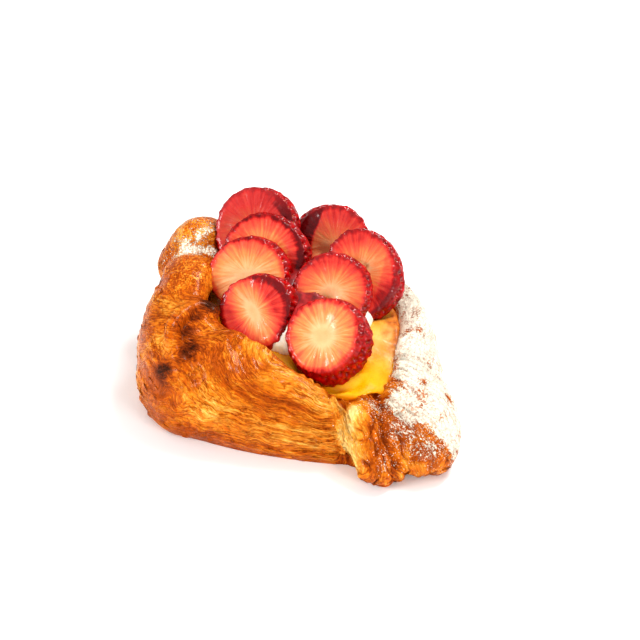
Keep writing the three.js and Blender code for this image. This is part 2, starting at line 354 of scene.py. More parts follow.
def hump(distance, width):
    """1 at no distance, falling softly to 0 over about twice the width."""
    return np.exp(-((distance / width) ** 2))


def spots(points, rows):
    """1 at the middle of the nearest spot, and 0 away from them all."""
    away = [np.linalg.norm(points - in_dough(*place_at), axis=-1) / (reach * MM) for *place_at, reach in rows]
    return hump(np.min(away, axis=0), 1)


def up_share(points):
    """0 at the foot of the wall, 1 at its crest, and more than 1 on the way down into the well."""
    return np.arange(points.shape[1]) / OUTER_ROWS


def layer_flow(points, turns):
    """How far round the wall each point is, the same as a place on a circle, and how far up the layers (mm)."""
    near_wall = hump(turn_from(turns, math.radians(-95)), math.radians(38))
    pace = 1 - 0.55 * near_wall  # the lines are longer on the near wall
    middle_row = points[:, OUTER_ROWS // 2]
    arc = np.cumsum(np.linalg.norm(np.roll(middle_row, -1, 0) - middle_row, axis=-1) * pace)
    around = np.repeat(arc[:, None], points.shape[1], 1) / MM
    ring = arc[-1] / MM / (2 * math.pi)
    ring_x, ring_y = ring * np.cos(around / ring), ring * np.sin(around / ring)
    up = up_share(points)
    left_corner = hump(turn_from(turns, math.radians(-152)), math.radians(24))[:, None]
    across = np.repeat(up[None], points.shape[0], 0) * LAYER_SPAN
    across = across - 16 * left_corner * step(up, 0.1, 1)[None]  # the layers turn upwards at the left corner
    return around, ring_x, ring_y, across


def folds_and_swellings(points):
    """How far the folds, grooves and swellings stand out or in (mm)."""
    out = 0
    for line, width, height in LINES:
        out = out + height * hump(from_line(points, line), width * MM)
    outer = 1 - 0.55 * step(up_share(points), 1.0, 1.2)[None]  # less towards the fruit
    for *place_at, reach, height in PUSHES:
        out = out + height * outer * hump(np.linalg.norm(points - in_dough(*place_at), axis=-1), reach * MM)
    return out


def dough_relief(points, turns):
    """How far each point of the dough stands out or in, and the masks that its material reads."""
    mm = points / MM
    up = up_share(points)
    knob = step(KNOB_HALF - np.abs(turn_from(turns, KNOB)), -0.03, 0.03)[:, None] * step(1.25 - up, 0, 0.2)[None]
    right_lobe = step(mm[..., 0], 36, 42) * knob
    flank = hump(from_line(points, KNOB_FLANK), 4.5 * MM)

    # Layers: thin bands that run along the wall, and up the lobes where the strips cross.
    around, ring_x, ring_y, across = layer_flow(points, turns)
    warp = fractal(mm / 13, 3, SEED)
    wander = noise(mm / 4.5, 3)
    layer_wall = across + 2.6 * warp + 0.8 * wander
    layer_knob = around + 2.4 * warp + 0.8 * wander
    bands_wall = fractal(np.stack([layer_wall / 1.2, ring_x / 7, ring_y / 7], -1), 2, 21)
    bands_knob = fractal(np.stack([layer_knob / 1.5, across / 7, warp * 2], -1), 2, 22)
    bands = bands_wall * (1 - knob) + bands_knob * knob
    coarse_wall = noise(np.stack([layer_wall / 3.6, ring_x / 17, ring_y / 17], -1), 31)
    coarse_knob = noise(np.stack([layer_knob / 3.4, across / 14, 0 * warp], -1), 32)
    coarse = (coarse_wall * (1 - knob) + coarse_knob * knob) * (1 - 0.75 * right_lobe)
    veins = 1 - step(np.abs(noise(np.stack([layer_knob / 3.0, across / 9, warp * 1.5], -1), 33)), 0, 0.32)
    veins = veins * knob * (1 - 0.8 * right_lobe) * (1 - 0.8 * flank)

    patch = step(fractal(mm / 11, 2, 41), -0.35, 0.5)
    blisters = step(noise(mm / 2.8, 51), 0.3, 0.9) * step(noise(mm / 12, 52), -0.3, 0.3)
    relief = 0.8 * noise(mm / 15, 61) - 0.9 * veins + 0.6 * coarse + (0.2 + 0.32 * patch) * bands + 0.8 * blisters
    relief = relief + folds_and_swellings(points)
    relief = relief * (1 - 0.7 * step(up, 1.15, 1.5)[None]) * step(mm[..., 2], -1.5, 2.5)
    masks = {
        "knob": knob,
        "bands": bands,
        "coarse": coarse,
        # painted shade: darker in the crease between the lobes and in the grooves of the veins
        "crease_shade": np.maximum(hump(from_line(points, KNOB_CREASE), 1.5 * MM), 0.7 * veins),
        "wall_flow": np.stack([ring_x, ring_y, layer_wall], -1),
        "knob_flow": np.stack([across, warp * 6, layer_knob], -1),
    }
    return relief * MM, masks


def dough_looks(points, normal, masks):
    """Where the crust is browner or paler, where it is scorched, where shade is painted in its creases, its fold and
    low spots, where icing sugar lies and where the crust is grainy.
    """
    mm = points / MM
    facing_up = step(normal[..., 2], 0.15, 0.85)
    broad = fractal(mm / 15, 3, 71)
    edge = noise(mm / 3, 72)
    # burnt along the fold, and painted shade in the fold's groove
    burnt_and_shade = spots(points + edge[..., None] * 1.2 * MM, BURNT_AND_SHADE)
    burnt_and_shade = np.maximum(burnt_and_shade, 0.6 * hump(from_line(points, BURNT_AND_SHADE_LINE), (2.4 + 0.8 * edge) * MM))
    flank = hump(from_line(points, KNOB_FLANK), (4.6 + edge) * MM)
    flank = flank + 0.3 * hump(from_line(points, KNOB_FRONT), (3.6 + edge) * MM)
    pale = np.maximum(spots(points + edge[..., None] * 2 * MM, PALE), 3 * flank)
    pale = pale + 0.9 * hump(from_line(points, RIM_BAND), (3.6 + edge) * MM)
    # painted shade, low on the left wall and on the lobes
    dark = spots(points + edge[..., None] * 2 * MM, SHADE_SPOTS)
    # browner on top and at random, with painted shade from the creases and the shade spots, and darker within a few
    # mm of the table
    brown_and_shade = 0.22 * facing_up + 0.42 * broad + 0.06 * masks["knob"] + 0.3 * masks["crease_shade"] + 0.8 * dark
    brown_and_shade = brown_and_shade + 0.3 * hump(mm[..., 2], 3)
    return {
        "brown_and_shade": brown_and_shade,
        "burnt_and_shade": burnt_and_shade,
        "pale": pale,
        "sugar": dusting(points, normal, broad, edge, masks["knob"] * (1 - 0.8 * np.clip(flank, 0, 1))),
        "grainy": facing_up * step(mm[..., 1], 0, 12) * step(-mm[..., 0], 22, 34),
    }


def dusting(points, normal, broad, edge, knob):
    """How thickly icing sugar lies: on the right wall, over the knob, on the far left roll and on a few spots."""
    x, y, z = (points[..., k] / MM for k in range(3))
    facing_up = step(normal[..., 2], 0.15, 0.85)
    right_wall = step(x + 1.5 * edge + 5 * broad, 27, 34) * step(y + 0.5 * (x - 38), -44, -37)
    sugar = right_wall * step(normal[..., 2], -0.6, 0.1)
    sugar = np.maximum(sugar, 0.48 * knob * facing_up * step(x, 20, 40))
    sugar = np.maximum(sugar, 0.75 * spots(points + edge[..., None] * 1.5 * MM, DUSTED))
    far_left = step(y, 22, 32) * step(-x, 16, 26)
    groove = hump(from_line(points, GROOVE), 6 * MM)
    sugar = np.maximum(sugar, far_left * facing_up * (0.46 + 0.5 * groove))
    inside = step(up_share(points), 1.02, 1.2)[None] * step(x, 20, 30) * step(-z - 2 * edge, -31, -24)
    sugar = sugar * (1 - 0.9 * inside) + 0.35 * fractal(points / MM / 4.5, 2, 81) * (sugar > 0.02)
    return np.clip(sugar, 0, 1)


def make_dough():
    """The dough, and the grids of its points, normals and looks."""
    points, turns = dough_grid()
    relief, masks = dough_relief(points, turns)
    points = points + grid_normals(points) * relief[..., None]
    points[:, 0, 2] = 0
    points[..., 2] = np.maximum(points[..., 2], 0)
    normal = grid_normals(points)
    looks = {**masks, **dough_looks(points, normal, masks)}
    looks = {key: np.broadcast_to(value, points.shape[:2] + value.shape[2:]) for key, value in looks.items()}
    columns, rows = points.shape[:2]
    count = columns * rows
    foot = np.arange(columns) * rows
    ahead = np.roll(foot, -1)
    fans = [(count, a, b) for a, b in zip(foot, ahead)]
    fans += [(count + 1, b + rows - 1, a + rows - 1) for a, b in zip(foot, ahead)]
    flat = np.concatenate([points.reshape(-1, 3), [[*CENTRE[:2], 0], [*CENTRE[:2], FLOOR]]])
    piece = new_object("dough_crust", flat, grid_faces(columns, rows).tolist() + fans)
    for key, value in looks.items():
        value = value.reshape((count,) + value.shape[2:])
        hubs = np.zeros((2,) + value.shape[1:])
        add_attribute(piece.data, key, np.concatenate([value, hubs]))
    return piece, points, normal, looks


# ---------------- loose flakes of crust

FLAKES = 700
FLAKE_GRID = (9, 4)  # how many points a flake has along the layers and across them


def sample(grid, column, row):
    """A grid's values at places between its columns and rows."""
    c, r = np.floor(column).astype(int), np.floor(row).astype(int)
    u, v = (part.reshape(part.shape + (1,) * (grid.ndim - 2)) for part in (column - c, row - r))
    near = grid[c % COLUMNS, r] * (1 - v) + grid[c % COLUMNS, r + 1] * v
    far = grid[(c + 1) % COLUMNS, r] * (1 - v) + grid[(c + 1) % COLUMNS, r + 1] * v
    return near * (1 - u) + far * u


def make_flakes(points, normal, looks):
    """One joined mesh of loose flakes, each a thin strip along the layers with one long edge lifted."""
    rng = np.random.default_rng(SEED + 80)
    column, row = rng.uniform(5, COLUMNS - 20, FLAKES), rng.uniform(10, OUTER_ROWS - 12, FLAKES)
    bare = sample(looks["sugar"], column, row) + sample(looks["burnt_and_shade"], column, row) < 0.2
    column, row = column[bare], row[bare]
    count = len(column)
    u = np.linspace(-1, 1, FLAKE_GRID[0])[None, :, None]
    v = np.linspace(0, 1, FLAKE_GRID[1])[None, None, :]
    ragged = np.sqrt(1 - 0.96 * u**2) * rng.uniform(0.7, 1.15, (count, FLAKE_GRID[0], 1))
    space = np.linalg.norm(sample(points, column + 1, row) - sample(points, column, row), axis=-1)
    long = (rng.uniform(1.6, 5.0, count) * MM / space)[:, None, None]
    wide = rng.uniform(1.6, 3.4, count)[:, None, None]
    slope = rng.normal(0, 1.2, count)[:, None, None]
    columns = column[:, None, None] + (u + 1) / 2 * long + 0 * v
    rows = row[:, None, None] + wide * ragged * v + slope * u
    lift = rng.uniform(0.1, 0.4, count)[:, None, None] * v**2 * ragged + 0.06
    shape = sample(points, columns, rows) + sample(normal, columns, rows) * lift[..., None] * MM
    shape[..., 2] = np.maximum(shape[..., 2], 0)
    corner = np.arange(math.prod(FLAKE_GRID)).reshape(FLAKE_GRID)
    quads = np.stack([corner[:-1, :-1], corner[:-1, 1:], corner[1:, 1:], corner[1:, :-1]], -1).reshape(-1, 4)
    every = quads[None] + np.arange(count)[:, None, None] * corner.size
    piece = new_object("crust_flakes", shape.reshape(-1, 3), every.reshape(-1, 4))
    for key, value in looks.items():
        value = sample(value, columns, rows)
        if key == "pale":
            value = value + 0.5 * v
        add_attribute(piece.data, key, value.reshape((-1,) + value.shape[3:]))
    return piece


# ---------------- materials


class Graph:
    """Builds one node material: each call adds a node and gives back one of its outputs."""

    def __init__(self, name):
        self.material = bpy.data.materials.new(name)
        self.material.use_nodes = True
        self.tree = self.material.node_tree
        self.shader = self.tree.nodes["Principled BSDF"]

    def node(self, kind, inputs=(), output=0, **settings):
        made = self.tree.nodes.new(kind)
        for key, value in settings.items():
            setattr(made, key, value)
        for socket, value in dict(inputs).items():
            self.put(made.inputs[socket], value)
        return made.outputs[output]

    def put(self, socket, value):
        if isinstance(value, bpy.types.NodeSocket):
            self.tree.links.new(value, socket)
        else:
            socket.default_value = value

    def where(self):
        """Places in the piece's own axes, in metres."""
        return self.node("ShaderNodeTexCoord", output=3)

    def attribute(self, name, vector=False):
        return self.node("ShaderNodeAttribute", attribute_name=name, output=1 if vector else 2)

    def math(self, operation, a, b=0.0, c=0.0):
        return self.node("ShaderNodeMath", {0: a, 1: b, 2: c}, operation=operation)

    def plus(self, base, amount, value):
        """The base, and some of the value added."""
        return self.math("MULTIPLY_ADD", value, amount, base)

    def times(self, a, b):
        return self.math("MULTIPLY", a, b)

    def off(self, value, middle=0.5):
        """How far a value is from its middle."""
        return self.math("SUBTRACT", value, middle)

    def thin_lines(self, value, middle, width):
        """1 where noise passes through its middle, and 0 away from there."""
        return self.fade(self.math("ABSOLUTE", self.off(value, middle)), 0.0, width, 1.0, 0.0)

    def fade(self, value, low, high, start=0.0, end=1.0):
        inputs = {0: value, 1: low, 2: high, 3: start, 4: end}
        return self.node("ShaderNodeMapRange", inputs, interpolation_type="SMOOTHSTEP")

    def mix(self, amount, a, b):
        return self.node("ShaderNodeMix", {0: amount, 6: a, 7: b}, 2, data_type="RGBA")

    def scaled(self, vector, scale):
        return self.node("ShaderNodeVectorMath", {0: vector, 1: scale}, operation="MULTIPLY")

    def noise(self, vector, scale, detail=3.0, rough=0.55):
        inputs = {"Vector": vector, "Scale": scale, "Detail": detail, "Roughness": rough}
        return self.node("ShaderNodeTexNoise", inputs)

    def ramp(self, value, *stops):
        """Display colours along a value."""
        made = self.tree.nodes.new("ShaderNodeValToRGB")
        self.put(made.inputs[0], value)
        line = made.color_ramp
        while len(line.elements) < len(stops):
            line.elements.new(0.5)
        for element, (place_at, colour) in zip(line.elements, stops):
            element.position, element.color = place_at, rgb(*colour)
        return made.outputs[0]

    def between(self, amount, low, high):
        return self.node("ShaderNodeMix", {0: amount, 2: low, 3: high}, 0, data_type="FLOAT")

    def set(self, **sockets):
        """Sets or links the shader's own sockets, such as base_color."""
        for key, value in sockets.items():
            self.put(self.shader.inputs[key.replace("_", " ").title().replace("Ior", "IOR")], value)

    def translucent(self, weight, radius):
        """Lets light in, as far as the radius (mm) for red, green and blue."""
        self.set(subsurface_weight=weight, subsurface_radius=radius, subsurface_scale=MM)

    def bump(self, height, distance, strength):
        bumped = self.node("ShaderNodeBump", {"Height": height, "Distance": distance, "Strength": strength})
        self.put(self.shader.inputs["Normal"], bumped)


def rgb(red, green, blue):
    """A display colour, 0 to 255, as linear RGBA."""
    values = [c / 255 for c in (red, green, blue)]
    return (*[v / 12.92 if v < 0.04045 else ((v + 0.055) / 1.055) ** 2.4 for v in values], 1)


def layered(g, along_it, over_it, detail, rough):
    """Noise drawn out along the dough's layers: along the wall, and up the crossed lobes."""
    scale = (along_it, along_it, over_it)
    wall, knob = (
        g.noise(g.scaled(g.attribute(flow, True), scale), 1.0, detail, rough) for flow in ("wall_flow", "knob_flow")
    )
    return g.between(g.attribute("knob"), wall, knob)


def crust_material():
    """Baked dough: streaks, fine lines and cracks along its layers, browner or paler in places, painted shade in its
    creases, fold and low spots, painted highlights along thin lines, and icing sugar.
    """
    g = Graph("baked_dough")
    where = g.where()
    streaks = layered(g, 0.14, 1.0, 4.0, 0.62)
    cracks = g.thin_lines(layered(g, 0.3, 1.3, 3.0, 0.55), 0.5, 0.05)
    # thin light lines along the layers: painted highlights
    highlight_lines = g.thin_lines(layered(g, 0.18, 1.9, 2.0, 0.5), 0.52, 0.035)
    dense = g.fade(g.noise(where, 50.0), 0.42, 0.58)
    fine = g.between(dense, layered(g, 0.3, 3.4, 3.0, 0.6), layered(g, 0.5, 1.6, 3.0, 0.55))
    mottled = g.noise(where, 330.0, 4.0, 0.62)
    grain = g.noise(where, 1300.0, 3.0, 0.6)
    grainy = g.attribute("grainy")
    lined = g.between(grainy, g.fade(g.noise(where, 70.0, 3.0), 0.4, 0.6, 0.08, 1.0), 0.3)
    fine = g.times(g.off(fine), lined)

    tone = g.plus(0.435, -0.1, g.attribute("bands"))
    for amount, value in (
        (-0.12, g.attribute("coarse")),
        # browning, with painted shade in the creases and low spots
        (0.42, g.attribute("brown_and_shade")),
        (0.46, g.off(streaks)),
        (0.42, fine),
        (0.56, g.off(mottled)),
        (0.18, g.times(cracks, lined)),
        (1.6, g.times(g.off(grain, 0.48), grainy)),
        # lighter along the thin lines: painted highlights
        (-0.16, highlight_lines),
        (-0.16, g.attribute("pale")),
    ):
        tone = g.plus(tone, amount, value)
    tone = g.math("MINIMUM", tone, g.plus(0.5, 0.3, mottled))
    # burnt, with painted shade in the fold's groove
    tone = g.plus(tone, 0.5, g.attribute("burnt_and_shade"))
    # painted shade in the crease between the lobes and in the grooves of the veins
    tone = g.plus(tone, 0.12, g.attribute("crease_shade"))
    colour = g.ramp(
        tone,
        (0.0, (255, 214, 134)),
        (0.18, (248, 178, 76)),
        (0.4, (224, 126, 26)),
        (0.6, (188, 86, 12)),
        (0.8, (126, 50, 8)),
        (1.0, (58, 20, 6)),
    )
    cover = sugar_cover(g, where, streaks)
    gloss = g.fade(mottled, 0.35, 0.65, 0.2, 0.38)
    g.set(
        base_color=g.mix(cover, colour, rgb(253, 245, 224)),
        roughness=g.between(cover, gloss, 0.9),
        specular_ior_level=0.12,
        specular_tint=rgb(255, 200, 130),
        coat_weight=0.14,
        coat_roughness=0.14,
    )
    height = g.times(streaks, 0.5)
    for amount, value in ((0.2, grain), (0.8, fine), (0.5, mottled), (-0.35, cracks), (0.3, cover)):
        height = g.plus(height, amount, value)
    g.bump(height, 0.7 * MM, 1.0)
    return g.material


def sugar_cover(g, where, streaks):
    """How much fine sugar hides the crust: speckled where it lies thin, and nearly all of it where it lies thick."""
    sugar = g.attribute("sugar")
    speckle = g.plus(g.noise(where, 1300.0, 3.0, 0.8), -0.5, g.off(streaks))
    cover = g.off(g.plus(speckle, 0.38, sugar), 0.77)
    cover = g.times(g.fade(cover, -0.03, 0.08), g.fade(sugar, 0.02, 0.3))
    return g.math("MAXIMUM", cover, g.fade(sugar, 0.75, 1.0, 0.0, 0.5))


def custard_material():
    g = Graph("custard")
    where = g.where()
    cloud = g.noise(where, 90.0, 3.0)
    colour = g.ramp(cloud, (0.3, (244, 150, 4)), (0.5, (252, 176, 14)), (0.7, (252, 192, 44)))
    browned = g.ramp(cloud, (0.35, (240, 160, 44)), (0.65, (248, 196, 96)))
    colour = g.mix(g.attribute("thin"), colour, browned)
    baked = g.attribute("baked")
    crisp = g.ramp(g.noise(where, 500.0, 4.0), (0.3, (176, 82, 14)), (0.6, (226, 134, 42)))
    gloss = g.fade(g.noise(where, 300.0), 0.3, 0.7, 0.22, 0.4)
    g.set(
        base_color=g.mix(baked, colour, crisp),
        roughness=g.between(baked, gloss, 0.6),
        specular_ior_level=0.25,
        coat_weight=0.2,
        coat_roughness=0.15,
    )
    g.translucent(0.3, (3.0, 1.6, 0.5))
    rough_crust = g.times(g.noise(where, 900.0, 3.0), baked)
    g.bump(g.plus(g.noise(where, 400.0, 2.0), 2.5, rough_crust), 0.2 * MM, 0.6)
    return g.material


def cream_material():
    g = Graph("whipped_cream")
    where = g.where()
    colour = g.ramp(g.noise(where, 160.0), (0.3, (255, 240, 206)), (0.7, (255, 252, 238)))
    # dark red between the rows of slices: a juice stain, with painted shade of the gap
    stain_and_shade = g.ramp(g.noise(where, 220.0), (0.35, (104, 2, 8)), (0.65, (190, 34, 34)))
    g.set(
        base_color=g.mix(g.fade(g.attribute("juice_and_gap_shade"), 0.15, 0.5), colour, stain_and_shade),
        roughness=g.fade(g.noise(where, 500.0), 0.3, 0.7, 0.3, 0.5),
    )
    g.translucent(0.4, (2.0, 1.6, 1.2))
    g.bump(g.noise(where, 700.0, 3.0), 0.2 * MM, 0.5)
    return g.material


def strawberry_material():
    """Reads each point's place in its slice: how red the flesh is and how far it turns pinkish, partly a painted
    sheen of the glaze, its fibres, and where its skin is.
    """
    g = Graph("strawberry")
    place_at = g.attribute("place", True)
    cloud = g.noise(place_at, 0.3, 3.0)
    rays = g.noise(g.attribute("fibres", True), 1.0, 2.5, 0.6)
    streak = g.times(g.off(rays), g.attribute("streaky"))
    tone = g.plus(g.attribute("tone"), 0.7, streak)
    tone = g.plus(tone, 0.22, g.off(cloud))
    flesh = g.ramp(
        tone,
        (0.04, (240, 190, 138)),
        (0.28, (240, 146, 84)),
        (0.5, (234, 100, 66)),
        (0.7, (220, 62, 50)),
        (0.86, (172, 18, 18)),
        (1.0, (104, 2, 8)),
    )
    # pinker, purplish flesh: partly the fruit's own tint, partly a painted sheen of its glaze
    flesh = g.mix(g.attribute("pink_and_sheen"), flesh, g.mix(cloud, rgb(150, 14, 30), rgb(214, 66, 62)))
    red = g.ramp(g.noise(place_at, 0.5, 3.0), (0.3, (104, 0, 2)), (0.55, (166, 0, 4)), (0.8, (216, 8, 10)))
    g.set(
        base_color=g.mix(g.attribute("skin"), flesh, red),
        roughness=g.fade(cloud, 0.3, 0.7, 0.2, 0.36),
        specular_ior_level=0.2,
        coat_weight=0.55,
        coat_roughness=0.06,
        coat_ior=1.4,
    )
    g.translucent(0.2, (2.0, 0.5, 0.3))
    g.bump(g.plus(g.times(g.noise(place_at, 1.6, 3.0), 0.6), 0.8, streak), 0.25 * MM, 0.6)
    return g.material


def seed_material():
    g = Graph("strawberry_seed")
    where = g.where()
    colour = g.ramp(g.noise(where, 300.0), (0.35, (96, 18, 6)), (0.65, (206, 112, 40)))
    g.set(base_color=colour, roughness=g.fade(g.noise(where, 900.0), 0.3, 0.7, 0.25, 0.4), coat_weight=0.2)
    return g.material


def sugar_material():
    g = Graph("icing_sugar")
    where = g.where()
    colour = g.ramp(g.noise(where, 800.0), (0.3, (252, 243, 222)), (0.7, (255, 251, 236)))
    g.set(base_color=colour, roughness=g.fade(g.noise(where, 600.0), 0.3, 0.7, 0.7, 0.95))
    return g.material


# ---------------- fillings

SPILL_AT = in_dough(0.69, 0.28, 0.52)  # where the custard runs over the near rim, by the knob
SPILL_REACH, SPILL_OUT, SPILL_DOWN = 8, 2.4, 1.2  # mm


def spread_custard(mesh):
    """Lets the custard meet the dough, with a soft uneven top, and marks its thin and its baked edge at the right."""
    points, normal = coords(mesh), normals(mesh)
    outward = points - CENTRE
    outward[:, 2] = 0
    outward /= np.linalg.norm(outward, axis=1, keepdims=True) + 1e-9
    rim = step(np.linalg.norm((points - CENTRE)[:, :2], axis=1) / MM, 20, 27)
    bulge = 0.45 + 0.45 * noise(points / MM / 7, 5)
    points = points + (normal * bulge[:, None] + outward * rim[:, None] * 1.8) * MM
    spill = hump(np.linalg.norm(points - SPILL_AT, axis=1), SPILL_REACH * MM)[:, None] * MM
    points = points + outward * SPILL_OUT * spill - [0, 0, SPILL_DOWN] * spill
    place(mesh, points)
    low, high = points.min(0), points.max(0)
    share = (points - low) / (high - low)
    ragged = share[:, 0] + 0.05 * noise(points / MM / 4, 9) + 0.02 * noise(points / MM / 1.5, 10)
    add_attribute(mesh, "thin", step(ragged, 0.74, 0.86) * step(share[:, 1], 0.2, 0.32))
    add_attribute(mesh, "baked", step(ragged, 0.92, 0.97) * step(share[:, 1], 0.12, 0.2))


def settle_cream(mesh):
    """Softens the cream, and marks where the fruit's juices have stained it dark red between the two rows of slices,
    with painted shade of the gap there.
    """
    points, normal = coords(mesh), normals(mesh)
    points = points + normal * (0.5 + 0.3 * noise(points / MM / 4, 6))[:, None] * MM
    low, high = (np.array(corner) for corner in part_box("whipped_cream"))
    share = (points - low) / (high - low)
    # dark red between the rows of slices: a juice stain, with painted shade of the gap
    juice_and_gap_shade = hump(share[:, 0] - 0.44, 0.26) * step(share[:, 1], 0.08, 0.2)
    points[:, 2] -= 2.2 * MM * juice_and_gap_shade * step(share[:, 2], 0.4, 1)
    place(mesh, points)
    add_attribute(mesh, "juice_and_gap_shade", juice_and_gap_shade)


# ---------------- icing sugar

GRAINS = 9000


def sugar_grains(dough):
    """One joined mesh of small clumps of icing sugar lying where the crust is dusted."""
    rng = np.random.default_rng(SEED + 50)
    points, normal = coords(dough.data), normals(dough.data)
    dust = np.empty(len(points), np.float32)
    dough.data.attributes["sugar"].data.foreach_get("value", dust)
    chance = np.where(points[:, 2] > 2 * MM, dust, 0) ** 0.7
    chosen = rng.choice(len(points), GRAINS, p=chance / chance.sum())
    shape = np.array([(1, 0, 0), (0, 1, 0), (-1, 0, 0), (0, -1, 0), (0, 0, 0.7), (0, 0, -0.7)])
    faces = np.array([(0, 1, 4), (1, 2, 4), (2, 3, 4), (3, 0, 4), (1, 0, 5), (2, 1, 5), (3, 2, 5), (0, 3, 5)])
    size = rng.uniform(0.08, 0.21, GRAINS) * rng.choice([1, 1.5], GRAINS, p=[0.85, 0.15]) * MM
    turn = rng.uniform(0, 2 * math.pi, GRAINS)
    spin = np.stack([np.cos(turn), -np.sin(turn), np.sin(turn), np.cos(turn)], -1).reshape(-1, 2, 2)
    stretched = np.repeat(shape[None], GRAINS, 0) * rng.uniform(0.6, 1.3, (GRAINS, 6, 1))
    stretched[..., :2] = np.einsum("gij,gpj->gpi", spin, stretched[..., :2])
    spread = rng.normal(0, 0.4 * MM, (GRAINS, 3))
    spread -= normal[chosen] * (spread * normal[chosen]).sum(1)[:, None]
    middles = points[chosen] + spread + normal[chosen] * 0.25 * size[:, None]
    grains = middles[:, None] + stretched * size[:, None, None]
    every = faces[None] + np.arange(GRAINS)[:, None, None] * len(shape)
    return new_object("icing_sugar", grains.reshape(-1, 3), every.reshape(-1, 3), smooth_faces=False)


# ---------------- strawberry slices

SEED_SPACING = 2.5 * MM
# Each slice, seen from the front, by the end of its name. Bearings are in degrees from its right, anticlockwise.
# heart: the middle of the pale flesh (mm), how far it is drawn out and at what bearing, how pale and how big (mm)
# base, pinkness: how much redder and pinker the flesh is all over; the pinker, purplish tint is partly the fruit's
# own and partly a painted sheen of its glaze
# shades: darker sides (bearing, where the side starts as a share of SHADE_SPAN, how dark)
# crescents: darker arcs (bearing, half the length in radians, the share of the radius where they start, how dark)
# lean, bulge: how far the back leans to the right, and how far the lower right swells (mm)
# stretch: how far the fruit reaches out on one side (bearing, mm)
# taper: by what share the cut face is smaller, towards the upper left
SLICE_LOOKS = {
    "left_1": {
        "heart": (-0.8, -0.6, 2.4, -52, 0.92, 7.5), "pink_and_sheen": 0.15, "crescents": [(45, 0.9, 0.76, 0.3)],
        "lean": 2.6, "bulge": 1.8,
    },
    "left_2": {"heart": (0.5, -3.0, 1.3, 0, 1.0, 17), "lean": 2.2},
    "left_3": {
        "heart": (0.0, 3.0, 1.5, 0, 0.66, 11), "crescents": [(15, 0.8, 0.58, 0.22), (0, 0.8, 0.8, 0.25)], "lean": 1.8,
    },
    "left_4": {"heart": (0.0, -3.0, 1.6, 0, 0.5, 12), "pink_and_sheen": 0.6, "crescents": [(25, 0.6, 0.7, 0.5)], "lean": 0.6},
    "right_1": {"heart": (0.0, 0.0, 1.0, 0, 1.0, 19), "base": 0.08, "taper": 0.1},
    "right_2": {"heart": (0.5, -1.0, 1.4, 0, 0.9, 11), "pink_and_sheen": 0.25, "lean": 0.6},
    "right_3": {"heart": (0.0, 1.0, 1.7, 20, 0.85, 11), "pink_and_sheen": 0.25, "shades": [(-10, 0.55, 0.15)]},
    "right_4": {
        "heart": (0.0, -1.0, 1.5, 0, 0.7, 11), "pink_and_sheen": 0.35, "shades": [(180, 0.5, 0.6)], "stretch": (174, 3.2),
    },
}
HOLLOWS = {  # where a slice is hollow, how wide and how deep (mm)
    "right_2": (-1.5, -3.5, 2.6, 2.2),
    "right_3": (2.2, 2.6, 0.8, 1.2),
    "right_4": (-3.5, -4.0, 2.6, 1.8),
}
SHADE_SPAN = 14  # mm
TAPER_CORNER = 9.5 * MM  # how far up and to the left of the middle the tapered face shrinks towards


def slice_frame(node):
    """The middle of a slice and its axes: across, up and out of the cut face, read off its solid."""
    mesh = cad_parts[node].data
    spread = np.zeros((3, 3))
    for face in mesh.polygons:
        spread += face.area * np.outer(face.normal, face.normal)
    facing = np.linalg.eigh(spread)[1][:, -1]
    facing = facing if facing[2] > 0 else -facing
    across = np.cross([0, 0, 1], facing)
    across /= np.linalg.norm(across)
    low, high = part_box(node)
    return np.array((low + high) / 2), np.stack([across, np.cross(facing, across), facing])


def outline(flat):
    """The radius of a flat set of points at each bearing, as a function of the angle."""
    angle = np.arctan2(flat[:, 1], flat[:, 0])
    bins = ((angle + math.pi) / (2 * math.pi) * 90).astype(int) % 90
    far = np.zeros(90)
    np.maximum.at(far, bins, np.hypot(flat[:, 0], flat[:, 1]))
    far = smooth(far, 3, 0, True)
    at = (np.arange(-1, 91) + 0.5) / 90 * 2 * math.pi - math.pi
    return lambda a: np.interp(a, at, np.concatenate([far[-1:], far, far[:1]]))


def seed_places(points, skin, rng):
    """Which points of the skin carry a seed, none nearer another than the seeds' spacing."""
    kept = []
    for k in rng.permutation(np.flatnonzero(skin > 0.95)):
        if all(np.linalg.norm(points[k] - points[j]) > SEED_SPACING for j in kept):
            kept.append(k)
    return np.array(kept)


